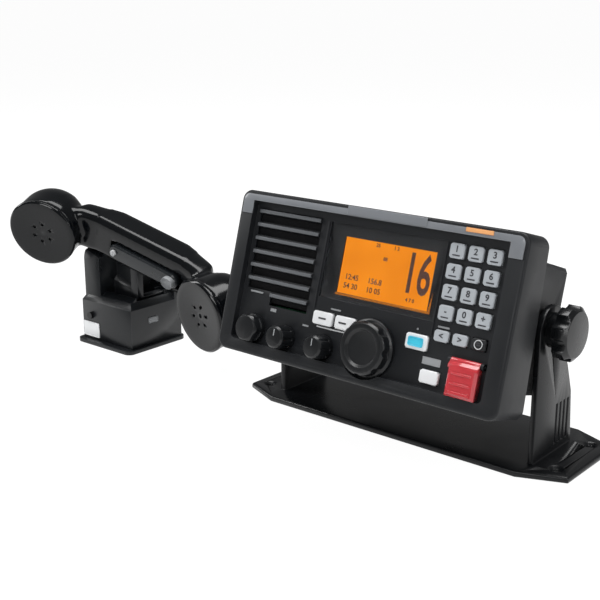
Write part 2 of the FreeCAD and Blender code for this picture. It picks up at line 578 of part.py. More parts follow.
fin = pad(chassis, "YZ_Plane", [("chassis_rear - 1", "fin_low"), ("chassis_fin_rear - 3", "fin_low"),
                                ("chassis_fin_rear", "fin_low + 5"),
                                ("chassis_fin_rear", "fin_high - 5"),
                                ("chassis_fin_rear - 3", "fin_high"),
                                ("chassis_rear - 1", "fin_high")],
          "fin_thickness", offset=first_fin, middle=False)
row(chassis, fin, "X_Axis", "fin_count", "fin_pitch * (fin_count - 1)")
for across, up in case_screws:
    rod(chassis, "case_screw_hole + 0.2", "flange_thickness", (across, flange_front, up), cut=True)
posts = [(f"{side} * post_across", f"{level} * post_up") for side in (-1, 1) for level in (-1, 1)]
for across, up in posts:
    rod(chassis, "post_radius", "chassis_rear - chassis_wall / 2 - power_board_depth - board_thickness",
        (across, "power_board_depth + board_thickness", up))
rod(chassis, "antenna_radius - 1.5", "3 * chassis_wall",
    ("antenna_across", "chassis_rear - 2 * chassis_wall", "antenna_up"), cut=True)
rod(chassis, "gland_radius - 1.5", "3 * chassis_wall",
    ("gland_across", "chassis_rear - 2 * chassis_wall", "gland_up"), cut=True)

seal = new_part("front_seal", RADIO)
plate(seal, f"{seat_width} - 2 * flange_gap", f"{seat_height} - 2 * flange_gap", "0", "0",
      "seat_depth", "seal_thickness")
plate(seal, cavity_width, cavity_height, "0", "0", "seat_depth", "seal_thickness", cut=True)

power_board = new_part("transceiver_board", RADIO)
plate(power_board, "chassis_width - 2 * chassis_wall - 6", "chassis_rear_high - chassis_low - "
      "2 * chassis_wall - 8", "0", "(chassis_rear_high + chassis_low) / 2", "power_board_depth",
      "board_thickness")

antenna = new_part("antenna_socket", RADIO.multiply(frame("antenna_across", 0, "antenna_up")))
plate(antenna, "antenna_flange", "antenna_flange", "0", "0", "chassis_rear", "1.6")
round_off(antenna, "3", lambda c, runs: runs == "y")
rod(antenna, "antenna_radius", "antenna_length", ("0", "chassis_rear", "0"))
rod(antenna, "antenna_radius - 1.2", "0.7 * antenna_length",
    ("0", "chassis_rear + 0.3 * antenna_length", "0"), cut=True)
rod(antenna, "2.2", "0.5 * antenna_length", ("0", "chassis_rear + 0.3 * antenna_length", "0"))
rod(antenna, "antenna_radius - 1.7", "2 * chassis_wall",
    ("0", "chassis_rear - 2 * chassis_wall", "0"))

gland = new_part("power_cable_gland", RADIO.multiply(frame("gland_across", 0, "gland_up")))
turn(gland, [("chassis_rear - 2 * chassis_wall", "gland_hole_radius"),
             ("chassis_rear - 2 * chassis_wall", "gland_radius - 1.7"),
             ("chassis_rear", "gland_radius - 1.7"), ("chassis_rear", "gland_radius + 2"),
             ("chassis_rear + 3", "gland_radius + 2"), ("chassis_rear + 3", "gland_radius"),
             ("chassis_rear + gland_length", "gland_radius - 2"),
             ("chassis_rear + gland_length", "gland_hole_radius")])


def case_screw(across, up):
    axis = Vector(0, 1, 0)
    seat = value(f"{flange_front} + flange_thickness")
    tip = value(f"{flange_front} - case_screw_length + 3")
    shank = Part.makeCylinder(value("case_screw_radius"), seat - tip, Vector(0, tip, 0), axis)
    head = Part.makeCylinder(value("case_head_radius"), value("case_head_height"),
                             Vector(0, seat, 0), axis)
    drive = Part.makeBox(0.8, 1.2, 2 * value("case_head_radius") - 1.4,
                         Vector(-0.4, seat + value("case_head_height") - 1.2,
                                0.7 - value("case_head_radius")))
    solid = shank.fuse(head).cut(drive)
    solid.translate(Vector(value(across), 0, value(up)))
    return solid


screws = doc.addObject("Part::Feature", "case_screws")
screws.Shape = Part.makeCompound([case_screw(across, up) for across, up in case_screws])
screws.Placement = RADIO
bodies.append(screws)

# Bracket: one bent plate with two legs and drilled wings
leg_inside = "(chassis_width / 2 + leg_gap)"
leg_front = "(pivot_setback - leg_radius)"
bracket = new_part("bracket", GROUND)
half = "(plate_width / 2)"
pad(bracket, "XY_Plane",
    [(f"-{half}", "plate_front + plate_clip_along"), (f"plate_clip_across - {half}", "plate_front"),
     (f"{half} - plate_clip_across", "plate_front"), (half, "plate_front + plate_clip_along"),
     (half, "plate_back - plate_clip_along"), (f"{half} - plate_clip_across", "plate_back"),
     (f"plate_clip_across - {half}", "plate_back"), (f"-{half}", "plate_back - plate_clip_along")],
    "plate_thickness", middle=False)
round_off(bracket, "leg_edge", lambda c, runs: near(c.z, "plate_thickness"), bevel=True)
for side in (-1, 1):
    inner = f"({side} * ({leg_inside} + leg_thickness / 2) - leg_thickness / 2)"
    pad(bracket, "YZ_Plane",
        [(leg_front, "0.5 * plate_thickness"), ("leg_foot_back", "0.5 * plate_thickness"),
         ("leg_hip_back", "leg_hip"), ("leg_knee_back", "leg_knee"),
         ("pivot_setback + leg_radius", "leg_waist"),
         ("pivot_setback + leg_radius", "pivot_height"), (leg_front, "pivot_height")],
        "leg_thickness", offset=inner, middle=False)
    rod(bracket, "leg_radius", "leg_thickness", (inner, "pivot_setback", "pivot_height"), "x")
    rod(bracket, "leg_hole_radius", "leg_thickness", (inner, "pivot_setback", "pivot_height"),
        "x", cut=True)
    outer = f"({side} * ({leg_inside} + leg_thickness - groove_depth / 2) - groove_depth / 2)"
    groove = block(bracket, ("groove_depth", "groove_width", "groove_top - groove_bottom"),
                   (outer, "leg_hip_back - groove_count * groove_pitch", "groove_bottom"), cut=True)
    row(bracket, groove, "Y_Axis", "groove_count", "groove_pitch * (groove_count - 1)")
for side in (-1, 1):
    for level in (-1, 1):
        spot = f"{side} * bracket_hole_across", f"{level} * bracket_hole_along"
        rod(bracket, "bracket_hole_radius", "plate_thickness", (*spot, "0"), "z", cut=True)
        cone = bracket.newObject("PartDesign::SubtractiveCone", "Sink")
        tie(cone, Radius1="bracket_hole_radius", Radius2="bracket_hole_sink",
            Height="bracket_hole_sink - bracket_hole_radius")
        put(cone, (*spot, "plate_thickness - bracket_hole_sink + bracket_hole_radius"))

pivot = [("left", -1), ("right", 1)]
leg_outside = f"({leg_inside} + leg_thickness)"
for name, side in pivot:
    place = frame(0, "pivot_setback", "pivot_height", yaw=-90 * side)
    grip = new_part(f"{name}_bracket_knob", place)
    start = f"({leg_outside} + grip_stand_off)"
    neck = f"({start} + grip_neck_length)"
    end = f"({neck} + grip_length)"
    turn(grip, [(start, "0"), (start, "grip_neck_radius"), (neck, "grip_neck_radius"),
                (f"{neck} + 1", "grip_radius"), (f"{end} - 2.5", "grip_radius"),
                (end, "grip_radius - 3"), (end, "0")])
    bite = rod(grip, "grip_bite_radius", "grip_length + 1",
               ("0", neck, "grip_radius + grip_bite_radius - grip_bite"), cut=True)
    ring(grip, bite, "grip_lobes")
    reach = "(chassis_width / 2 - thread_depth + 1)"
    rod(grip, "stud_radius", f"{start} - {reach}", ("0", reach, "0"))


def washer(side):
    inner = value("chassis_width / 2")
    thickness = value("leg_gap - washer_clearance")
    start = Vector(inner if side > 0 else -inner - thickness, value("pivot_depth"),
                   value("pivot_rise"))
    axis = Vector(1, 0, 0)
    disc = Part.makeCylinder(value("washer_radius"), thickness, start, axis)
    return disc.cut(Part.makeCylinder(value("leg_hole_radius"), thickness, start, axis))


washers = doc.addObject("Part::Feature", "pivot_washers")
washers.Shape = Part.makeCompound([washer(side) for side in (-1, 1)])
washers.Placement = RADIO
bodies.append(washers)

# Cradle: base plate with an upturned edge, bevelled tray, tall arm and a saddle for the handle
half = "(cradle_width / 2)"
front, rear = "(-cradle_length / 2)", "(cradle_length / 2)"
floor = "(cradle_base + cradle_floor)"
base = new_part("cradle_base_plate", CRADLE)
block(base, ("cradle_width + 2 * flange_reach", "cradle_length + flange_reach + flange_front",
             "cradle_base"), (f"-{half} - flange_reach", f"{front} - flange_front", "0"))
round_off(base, "2 * flange_reach", lambda c, runs: runs == "z")
block(base, ("flange_reach - saddle_gap", "arm_length", "upturn_height"),
      (f"-{half} - flange_reach", "arm_front", "0"))

tray = new_part("cradle_body", CRADLE)
block(tray, ("cradle_width", "cradle_length", "cradle_rim - cradle_base"),
      (f"-{half}", front, "cradle_base"))
round_off(tray, "cradle_bevel", lambda c, runs: near(c.z, "cradle_rim"), bevel=True)
pad(tray, "YZ_Plane", [(front, "cradle_rim - 2 * cradle_bevel"),
                       (front, "cradle_rim - cradle_bevel"),
                       (f"{front} + lip_depth", "cradle_rim + lip_rise"),
                       (f"{front} + lip_depth", "cradle_rim - 2 * cradle_bevel")],
    "cradle_width - cradle_bevel", offset=f"-{half}", middle=False)
block(tray, ("cradle_width - arm_width - cradle_wall", "cradle_length - lip_depth - cradle_wall",
             "cradle_rim"),
      (f"arm_width - {half}", f"{front} + lip_depth", floor), cut=True)
block(tray, ("arm_width", "arm_length", "arm_top - cradle_base"),
      (f"-{half}", "arm_front", "cradle_base"))
round_off(tray, "arm_round", lambda c, runs: runs == "y" and near(c.x, f"-{half}")
          and near(c.z, "arm_top"))
arm_side = f"(arm_width - {half} - 1)"
pad(tray, "XZ_Plane", [(arm_side, "cradle_base"), ("shelf_across", "cradle_base"),
                       ("shelf_across", "shelf_low"), (arm_side, "shelf_high")],
    "shelf_depth", offset="-shelf_front - shelf_depth", middle=False)
round_off(tray, "shelf_bevel", lambda c, runs: runs == "xz" and near(c.y, "shelf_front"),
          bevel=True)
pad(tray, "XZ_Plane", [(arm_side, "cradle_base"), (half, "cradle_base"), (half, "back_right"),
                       (arm_side, "back_left")],
    "cradle_wall", offset="-cradle_length / 2", middle=False)
block(tray, (f"saddle_across - {arm_side}", "saddle_depth", "arm_top - cradle_base"),
      (arm_side, "shelf_front + shelf_depth / 2", "cradle_base"))
into_cradle = CRADLE.inverse().multiply(HANDSET)


def in_handset(feature, corner, axis="z"):
    """Sets a feature of the cradle by the handset's frame."""
    spot = Placement(Vector(*(value(text) for text in corner)), ALONG[axis])
    feature.Placement = into_cradle.multiply(spot)


handle_height = "(handle_low + handle_high)"
saddle_top = "(-handle_low - saddle_gap)"
notch = tray.newObject("PartDesign::SubtractiveBox", "Notch")
tie(notch, Length="2 * handle_reach", Width="2 * handle_reach", Height=f"2 * {handle_height}")
in_handset(notch, ("-handle_reach", "handle_arch - 2 * handle_reach + saddle_gap", saddle_top))
relief = tray.newObject("PartDesign::SubtractiveCylinder", "EarRelief")
tie(relief, Radius="cap_rim + 1", Height="cup_radius + cup_barrel + 20")
in_handset(relief, ("-cup_spacing / 2", "cup_face - 10", "0"), "y")

lever_pin_up = "(lever_up + lever_thickness / 2)"
for side in (-1, 1):
    post = f"(lever_across + {side} * (lever_width / 2 + lever_side_gap + lever_post / 2))"
    block(tray, ("lever_post", "4 * lever_pin_radius", f"{lever_pin_up} + 2 * lever_pin_radius"
                 " - cradle_base"),
          (f"{post} - lever_post / 2", "lever_pivot_along - 2 * lever_pin_radius", "cradle_base"))
    rod(tray, "lever_pin_radius + lever_pin_gap", "lever_post",
        (f"{post} - lever_post / 2", "lever_pivot_along", lever_pin_up), "x", cut=True)

lever = new_part("hook_lever", CRADLE)
block(lever, ("lever_width", "lever_pivot_along - lever_front", "lever_thickness"),
      ("lever_across - lever_width / 2", "lever_front", "lever_up"))
block(lever, ("lever_width", "finger_length", "arm_top - lever_up"),
      ("lever_across - lever_width / 2", "lever_front", "lever_up"))
under = lever.newObject("PartDesign::SubtractiveBox", "Underside")
tie(under, Length="2 * handle_reach", Width="2 * handle_reach", Height=f"2 * {handle_height}")
in_handset(under, ("-handle_reach", "-handle_reach", saddle_top))
pin_length = "(lever_width + 2 * lever_side_gap + 2 * lever_post)"
rod(lever, "lever_pin_radius", pin_length,
    (f"lever_across - {pin_length} / 2", "lever_pivot_along", lever_pin_up), "x")

switch = new_part("hook_switch", CRADLE)
switch_up = "(lever_up - plunger_reach - switch_height)"
block(switch, ("switch_width", "switch_length", "switch_height"),
      ("shelf_across", "shelf_front", switch_up))
rod(switch, "plunger_radius", "plunger_reach - saddle_gap",
    ("shelf_across + switch_width / 2", "shelf_front + switch_length / 2",
     f"{switch_up} + switch_height"), "z")

screw_spots = [("cradle_screw_left", "cradle_screw_along"),
               ("cradle_screw_right", "cradle_screw_along")]
for body in (base, tray):
    for across, along in screw_spots:
        rod(body, "cradle_hole_radius", floor, (across, along, "0"), "z", cut=True)


def cradle_screw(across, along):
    seat, height = value(floor), value("cradle_head_height")
    head = Part.makeCylinder(value("cradle_head_radius"), height, Vector(0, 0, seat))
    shank = Part.makeCylinder(value("cradle_screw_radius"), seat)
    drive = Part.makeBox(5, 0.9, 1.2, Vector(-2.5, -0.45, seat + height - 1.2))
    solid = head.fuse(shank).cut(drive)
    solid.translate(Vector(value(across), value(along), 0))
    return solid


cradle_screws = doc.addObject("Part::Feature", "cradle_screws")
cradle_screws.Shape = Part.makeCompound([cradle_screw(*spot) for spot in screw_spots])
cradle_screws.Placement = CRADLE
bodies.append(cradle_screws)


# Handset: two shells that meet along the handle, with a domed cup at each end
def cup(body, side):
    """One end's barrel and dome, toed in towards the other end."""
    toe = Rotation(Vector(0, 0, 1), value(f"{-side} * cup_toe"))
    face = Vector(side * value("cup_spacing / 2"), value("cup_face"), 0)
    barrel = body.newObject("PartDesign::AdditiveCylinder", "Barrel")
    tie(barrel, Radius="cup_radius", Height="cup_barrel - cap_plate")
    back = toe.multVec(Vector(0, 1, 0))
    barrel.Placement = Placement(face + back * value("cap_plate"), toe.multiply(ALONG["y"]))
    dome = body.newObject("PartDesign::AdditiveSphere", "Dome")
    tie(dome, Radius="cup_radius")
    dome.Angle1 = 0
    dome.Placement = Placement(face + back * value("cup_barrel"), toe.multiply(ALONG["y"]))
    return Placement(face, toe)


def handset_form(body):
    pad(body, "XY_Plane",
        [("-handle_reach", "handle_back - 6"), ("-handle_waist", "handle_arch"),
         ("handle_waist", "handle_arch"), ("handle_reach", "handle_back - 6"),
         ("handle_reach", "handle_front - 4"), ("handle_waist + 10", "handle_front"),
         ("-handle_waist - 10", "handle_front"), ("-handle_reach", "handle_front - 4")],
        handle_height, offset="-handle_low", middle=False)
    round_off(body, "handle_round", lambda c, runs: abs(c.x) < value("handle_reach - 1")
              and (near(c.z, "handle_high") or near(c.z, "-handle_low")))
    return [cup(body, side) for side in (-1, 1)]


spine = new_part("handset_back_shell", HANDSET)
handset_form(spine)
block(spine, ("3 * cup_spacing", "cup_spacing", "cup_spacing"),
      ("-1.5 * cup_spacing", "split_plane - cup_spacing", "-cup_spacing / 2"), cut=True)

grip_shell = new_part("handset_front_shell", HANDSET)
cups = handset_form(grip_shell)
block(grip_shell, ("3 * cup_spacing", "cup_spacing", "cup_spacing"),
      ("-1.5 * cup_spacing", "split_plane", "-cup_spacing / 2"), cut=True)
for place in cups:
    seat = grip_shell.newObject("PartDesign::SubtractiveCylinder", "CapsuleSeat")
    tie(seat, Radius="capsule_radius + snug", Height="capsule_depth + 2 * snug")
    spot = Placement(Vector(0, value("cap_plate"), 0), ALONG["y"])
    seat.Placement = place.multiply(spot)
plate(grip_shell, "talk_bar_length + 2 * talk_bar_gap", "talk_bar_height + 2 * talk_bar_gap",
      "talk_bar_across", "talk_bar_up", f"handle_front - 8",
      f"8 + talk_bar_depth + talk_bar_travel", cut=True)

talk_bar = new_part("talk_bar", HANDSET)
plate(talk_bar, "talk_bar_length", "talk_bar_height", "talk_bar_across", "talk_bar_up",
      "handle_front - talk_bar_proud", "talk_bar_proud + talk_bar_depth - 0.2")
round_off(talk_bar, "talk_bar_height / 2 - 0.3", lambda c, runs: runs == "y")
round_off(talk_bar, "talk_bar_edge", lambda c, runs: near(c.y, "handle_front - talk_bar_proud"),
          bevel=True)

for label, place in (("earpiece_cap", cups[0]), ("mouthpiece_cap", cups[1])):
    disc = new_part(label, HANDSET.multiply(place))
    turn(disc, [("cap_plate", "0"), ("cap_plate", "cap_rim"), ("cap_round", "cap_rim"),
                ("0", "cap_rim - cap_round"), ("cap_plate / 2", "0")])
    hole = rod(disc, "cap_hole_radius", "cap_plate", ("0", "0", "cap_hole_circle"), cut=True)
    ring(disc, hole, "cap_holes")

capsules = doc.addObject("Part::Feature", "voice_capsules")
capsules.Shape = Part.makeCompound([
    Part.makeCylinder(value("capsule_radius"), value("capsule_depth"),
                      place.multVec(Vector(0, value("cap_plate + snug"), 0)),
                      place.Rotation.multVec(Vector(0, 1, 0))) for place in cups])
capsules.Placement = HANDSET
bodies.append(capsules)

INLET = frame("cup_spacing / 2 + 0.9 * cup_radius", "cup_face + 0.5 * cup_barrel", 0, yaw=-90)
bore = grip_shell.newObject("PartDesign::SubtractiveCylinder", "InletBore")
tie(bore, Radius="inlet_radius", Height="inlet_length")
bore.Placement = INLET.multiply(Placement(Vector(), ALONG["y"]))
inlet = new_part("handset_cord_inlet", HANDSET.multiply(INLET))
turn(inlet, [("0", "inlet_hole_radius"), ("0", "inlet_radius"), ("3", "inlet_radius"),
             ("inlet_length", "inlet_tip_radius"), ("inlet_length", "inlet_hole_radius")])

doc.recompute()
faults = [f"{item.Label}: {item.State}" for item in doc.Objects
          if "Invalid" in item.State or "Error" in item.State]
faults += [f"{body.Label}: no valid solid" for body in bodies
           if body.Shape.isNull() or not body.Shape.isValid() or not body.Shape.Solids]
if faults:
    raise RuntimeError("; ".join(faults))
for body in bodies:
    body.Shape.exportStep(f"parts/{body.Label}.step")
print(len(bodies), "parts written")
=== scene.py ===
import json
import math

import bpy
from mathutils import Matrix, Vector

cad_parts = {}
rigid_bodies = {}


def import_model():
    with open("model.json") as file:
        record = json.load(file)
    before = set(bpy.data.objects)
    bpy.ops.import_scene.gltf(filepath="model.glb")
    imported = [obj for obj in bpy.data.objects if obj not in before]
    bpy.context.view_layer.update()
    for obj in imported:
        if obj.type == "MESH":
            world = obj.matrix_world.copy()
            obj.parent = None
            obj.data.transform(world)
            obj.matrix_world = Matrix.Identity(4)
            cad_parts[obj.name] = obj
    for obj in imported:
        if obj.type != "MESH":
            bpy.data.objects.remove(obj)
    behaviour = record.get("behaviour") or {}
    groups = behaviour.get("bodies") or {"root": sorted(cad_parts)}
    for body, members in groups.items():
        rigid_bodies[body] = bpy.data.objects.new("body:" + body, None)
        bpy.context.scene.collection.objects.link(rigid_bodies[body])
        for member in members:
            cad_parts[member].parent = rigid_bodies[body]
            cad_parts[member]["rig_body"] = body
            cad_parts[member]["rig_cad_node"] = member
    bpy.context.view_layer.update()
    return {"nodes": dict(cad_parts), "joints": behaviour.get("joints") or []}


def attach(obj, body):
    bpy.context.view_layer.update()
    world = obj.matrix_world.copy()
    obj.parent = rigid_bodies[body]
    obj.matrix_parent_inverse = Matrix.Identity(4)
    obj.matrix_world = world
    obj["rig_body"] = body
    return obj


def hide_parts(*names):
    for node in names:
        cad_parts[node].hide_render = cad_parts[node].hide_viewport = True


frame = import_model()
nodes, joints = frame["nodes"], {joint["name"]: joint for joint in frame["joints"]}
bpy.ops.object.select_all(action="DESELECT")

# The studio: a white floor that runs out of sight into a white room, one wide soft box
# overhead, a strip at each side for the long highlights, a fill in front, and the
# photograph's camera. The camera sees floor and room in full, also through the display's
# window. Glossy rays see the floor in full and the room dimly.
floor_white, floor_spread, floor_drop = (0.90, 0.90, 0.90, 1.0), 120.0, 0.0004
floor_roughness, glow_strength, glow_share = 0.9, 1.12, 0.85
room_dim, room_full, room_gloss_share = 0.16, 1.0, 0.06
camera_azimuth, camera_elevation = math.radians(40), math.radians(16)
camera_place, camera_lens = Vector((0.3968, -0.6029, 0.2911)), 65.7


def new_material(name):
    """An empty material with its tree and its Principled shader."""
    material = bpy.data.materials.new(name)
    material.use_nodes = True
    tree = material.node_tree
    return material, tree, tree.nodes["Principled BSDF"]


def maths(tree, operation, *values, clamp=False):
    """The output of a maths node, whose inputs are numbers or other nodes' outputs."""
    node = tree.nodes.new("ShaderNodeMath")
    node.operation, node.use_clamp = operation, clamp
    for socket, value in zip(node.inputs, values):
        if isinstance(value, float):
            socket.default_value = value
        else:
            tree.links.new(value, socket)
    return node.outputs[0]


def settle(piece, place=Matrix()):
    """Puts the piece's place into its mesh, so that its object sits at the origin."""
    bpy.context.view_layer.update()
    piece.data.transform(place @ piece.matrix_world)
    piece.matrix_world = Matrix()
    return piece


bpy.ops.mesh.primitive_plane_add(size=floor_spread, location=(0, 0, -floor_drop))
floor = settle(bpy.context.object)
floor.name = "studio_floor"
paper, tree, shader = new_material("studio_paper")
shader.inputs["Base Color"].default_value = floor_white
shader.inputs["Roughness"].default_value = floor_roughness
glow = tree.nodes.new("ShaderNodeEmission")
glow.inputs["Strength"].default_value = glow_strength
rays = tree.nodes.new("ShaderNodeLightPath").outputs
seen = maths(tree, "MAXIMUM", rays["Is Camera Ray"], rays["Is Transmission Ray"])
seen = maths(tree, "MAXIMUM", rays["Is Glossy Ray"], seen)
mix = tree.nodes.new("ShaderNodeMixShader")
tree.links.new(maths(tree, "MULTIPLY", seen, glow_share), mix.inputs["Fac"])
tree.links.new(shader.outputs[0], mix.inputs[1])
tree.links.new(glow.outputs[0], mix.inputs[2])
tree.links.new(mix.outputs[0], tree.nodes["Material Output"].inputs["Surface"])
floor.data.materials.append(paper)

world = bpy.data.worlds.new("studio_light")
bpy.context.scene.world = world
world.use_nodes = True
tree = world.node_tree
room = tree.nodes["Background"]
room.inputs["Color"].default_value = (1, 1, 1, 1)
rays = tree.nodes.new("ShaderNodeLightPath").outputs
seen = maths(tree, "MAXIMUM", rays["Is Camera Ray"], rays["Is Transmission Ray"])
seen = maths(tree, "MULTIPLY_ADD", rays["Is Glossy Ray"], room_gloss_share, seen, clamp=True)
level = tree.nodes.new("ShaderNodeMapRange")
level.inputs["To Min"].default_value = room_dim
level.inputs["To Max"].default_value = room_full
tree.links.new(seen, level.inputs["Value"])
tree.links.new(level.outputs["Result"], room.inputs["Strength"])


def soft_box(name, place, target, width, height, power):
    """A rectangular area lamp at one place, turned to face another."""
    bpy.ops.object.light_add(type="AREA", location=place)
    lamp = bpy.context.object
    lamp.name = name
    lamp.data.shape = "RECTANGLE"
    lamp.data.size, lamp.data.size_y, lamp.data.energy = width, height, power
    lamp.rotation_euler = (Vector(target) - Vector(place)).to_track_quat("-Z", "Y").to_euler()


soft_box("overhead_box", place=(-0.1, 0.1, 1.5), target=(0, 0, 0.05), width=1.4, height=0.8,
         power=26)
soft_box("left_strip", place=(-1.3, -0.5, 0.9), target=(-0.1, 0, 0.08), width=0.25, height=1.2,
         power=9)
soft_box("right_strip", place=(1.2, -0.2, 0.6), target=(0.1, 0, 0.08), width=0.2, height=1.2,
         power=5)
soft_box("front_fill", place=(0.3, -1.6, 1.1), target=(-0.05, 0, 0.08), width=0.9, height=0.5,
         power=10)

bpy.ops.object.camera_add(location=camera_place)
camera = bpy.context.object
camera.rotation_euler = (math.pi / 2 - camera_elevation, 0, camera_azimuth)
camera.data.lens = camera_lens
bpy.context.scene.camera = camera
bpy.context.scene.view_settings.view_transform = "Standard"

# The front case: one moulding in black glass-filled plastic with a fine spark-eroded
# grain. The trim, lens and keys fit into it, and four screws hold it to the chassis.
case_black, case_worn = (0.0048, 0.0056, 0.0070, 1), (0.022, 0.025, 0.029, 1)
case_edge_radius = 0.0007

# What the finishes share: the two scales of the grain, in cycles per metre, how a corner is
# found and worn, and the Mix node's numbers for its colour sockets.
stipple_scale, stipple_detail = 1800.0, 2.0
smudge_scale, smudge_detail, smudge_twist, smudge_lift = 22.0, 4.0, 0.6, 1.35
wear_width, wear_share, wear_samples = 0.0008, 0.6, 4
flat_turn, sharp_turn = 0.995, 0.82
patch_scale, patch_detail = 60.0, 3.0
noise_low, noise_high = 0.3, 0.7
bump_strength, coat_roughness = 0.6, 0.15
weld_reach, edge_steps = 0.00001, 2
first_colour, second_colour, mixed_colour = 6, 7, 2


def new_group(name, inputs, outputs):
    """A shader node group with named sockets, and its inner tree's two ends."""
    group = bpy.data.node_groups.new(name, "ShaderNodeTree")
    for label, default in inputs:
        socket = group.interface.new_socket(label, in_out="INPUT", socket_type="NodeSocketFloat")
        socket.default_value = default
    for label in outputs:
        group.interface.new_socket(label, in_out="OUTPUT", socket_type="NodeSocketFloat")
    return group, group.nodes.new("NodeGroupInput"), group.nodes.new("NodeGroupOutput")


# Moulded grain: a fine stipple for the bump, and slow smudges for colour and gloss
grain, start, end = new_group("moulded_grain",
                              [("Size", stipple_scale), ("Smudge size", smudge_scale)],
                              ["Height", "Smudge"])
spot = grain.nodes.new("ShaderNodeTexCoord")
stipple = grain.nodes.new("ShaderNodeTexNoise")
stipple.inputs["Detail"].default_value = stipple_detail
grain.links.new(spot.outputs["Object"], stipple.inputs["Vector"])
grain.links.new(start.outputs["Size"], stipple.inputs["Scale"])
grain.links.new(stipple.outputs["Fac"], end.inputs["Height"])
smudge = grain.nodes.new("ShaderNodeTexNoise")
smudge.inputs["Detail"].default_value = smudge_detail
smudge.inputs["Distortion"].default_value = smudge_twist
grain.links.new(spot.outputs["Object"], smudge.inputs["Vector"])
grain.links.new(start.outputs["Smudge size"], smudge.inputs["Scale"])
grain.links.new(smudge.outputs["Fac"], end.inputs["Smudge"])

# Edge wear: a mask that is 1 where a corner turns, broken up by a noise
wear, start, end = new_group("edge_wear", [("Width", wear_width), ("Amount", wear_share)],
                             ["Mask"])
bent = wear.nodes.new("ShaderNodeBevel")
bent.samples = wear_samples
straight = wear.nodes.new("ShaderNodeNewGeometry")
turn = wear.nodes.new("ShaderNodeVectorMath")
turn.operation = "DOT_PRODUCT"
wear.links.new(start.outputs["Width"], bent.inputs["Radius"])
wear.links.new(bent.outputs["Normal"], turn.inputs[0])
wear.links.new(straight.outputs["Normal"], turn.inputs[1])
corner = wear.nodes.new("ShaderNodeMapRange")
corner.inputs["From Min"].default_value = flat_turn
corner.inputs["From Max"].default_value = sharp_turn
wear.links.new(turn.outputs["Value"], corner.inputs["Value"])
spot = wear.nodes.new("ShaderNodeTexCoord")
patch = wear.nodes.new("ShaderNodeTexNoise")
patch.inputs["Scale"].default_value = patch_scale
patch.inputs["Detail"].default_value = patch_detail
wear.links.new(spot.outputs["Object"], patch.inputs["Vector"])
broken = maths(wear, "MULTIPLY", corner.outputs["Result"], patch.outputs["Fac"])
broken = maths(wear, "MULTIPLY", broken, start.outputs["Amount"], clamp=True)
wear.links.new(broken, end.inputs["Mask"])


def put_group(tree, group, **values):
    """Places a group in a material with this material's own values."""
    node = tree.nodes.new("ShaderNodeGroup")
    node.node_tree = group
    for label, number in values.items():
        node.inputs[label.replace("_", " ")].default_value = number
    return node


def blend_colours(tree, factor, low, high):
    """Blends two colours, each a fixed one or another node's output."""
    node = tree.nodes.new("ShaderNodeMix")
    node.data_type = "RGBA"
    tree.links.new(factor, node.inputs["Factor"])
    for socket, colour in ((first_colour, low), (second_colour, high)):
        if isinstance(colour, tuple):
            node.inputs[socket].default_value = colour
        else:
            tree.links.new(colour, node.inputs[socket])
    return node.outputs[mixed_colour]


def spread(tree, value, low, high):
    """Stretches a noise's middle range over the range from low to high."""
    node = tree.nodes.new("ShaderNodeMapRange")
    node.inputs["From Min"].default_value = noise_low
    node.inputs["From Max"].default_value = noise_high
    node.inputs["To Min"].default_value = low
    node.inputs["To Max"].default_value = high
    tree.links.new(value, node.inputs["Value"])
    return node.outputs["Result"]


def plastic(name, colour, worn, gloss=(0.42, 0.55), grain_size=stipple_scale,
            grain_depth=0.00004, smudge_size=smudge_scale, wear_amount=wear_share,
            metallic=0.0, coat=0.0, shine=0.3):
    """A moulded or painted finish: grain, slow smudges and paler worn edges."""
    material, tree, shader = new_material(name)
    fine = put_group(tree, grain, Size=grain_size, Smudge_size=smudge_size)
    edges = put_group(tree, wear, Amount=wear_amount)
    tint = tuple(channel * smudge_lift for channel in colour[:3]) + (1.0,)
    shade = blend_colours(tree, fine.outputs["Smudge"], colour, tint)
    paint = blend_colours(tree, edges.outputs["Mask"], shade, worn)
    tree.links.new(paint, shader.inputs["Base Color"])
    tree.links.new(spread(tree, fine.outputs["Smudge"], *gloss), shader.inputs["Roughness"])
    shader.inputs["Metallic"].default_value = metallic
    shader.inputs["Specular IOR Level"].default_value = shine
    shader.inputs["Coat Weight"].default_value = coat
    shader.inputs["Coat Roughness"].default_value = coat_roughness
    bump = tree.nodes.new("ShaderNodeBump")
    bump.inputs["Strength"].default_value = bump_strength
    bump.inputs["Distance"].default_value = grain_depth
    tree.links.new(fine.outputs["Height"], bump.inputs["Height"])
    tree.links.new(bump.outputs["Normal"], shader.inputs["Normal"])
    return material


def ink(name, colour, roughness, glow=0.0):
    """A flat printing ink, which glows where it lies on a lit display."""
    material, _, shader = new_material(name)
    shader.inputs["Base Color"].default_value = colour
    shader.inputs["Roughness"].default_value = roughness
    if glow:
        shader.inputs["Emission Color"].default_value = colour
        shader.inputs["Emission Strength"].default_value = glow
    return material


def dress(node, material, edge=0.0003, sharp=32):
    """Gives a CAD node its finish, and rounds the corners that a mould or a cutter leaves."""
    piece = nodes[node]
    piece.data.materials.clear()
    piece.data.materials.append(material)
    piece.data.polygons.foreach_set("use_smooth", [True] * len(piece.data.polygons))
    weld = piece.modifiers.new("joined_faces", "WELD")
    weld.merge_threshold = weld_reach
    if edge:
        bevel = piece.modifiers.new("broken_edges", "BEVEL")
        bevel.width, bevel.segments, bevel.limit_method = edge, edge_steps, "ANGLE"
        bevel.angle_limit = math.radians(sharp)
        bevel.harden_normals = True
        bevel.use_clamp_overlap = True
    else:
        split = piece.modifiers.new("crisp_edges", "EDGE_SPLIT")
        split.split_angle = math.radians(sharp)
    return piece


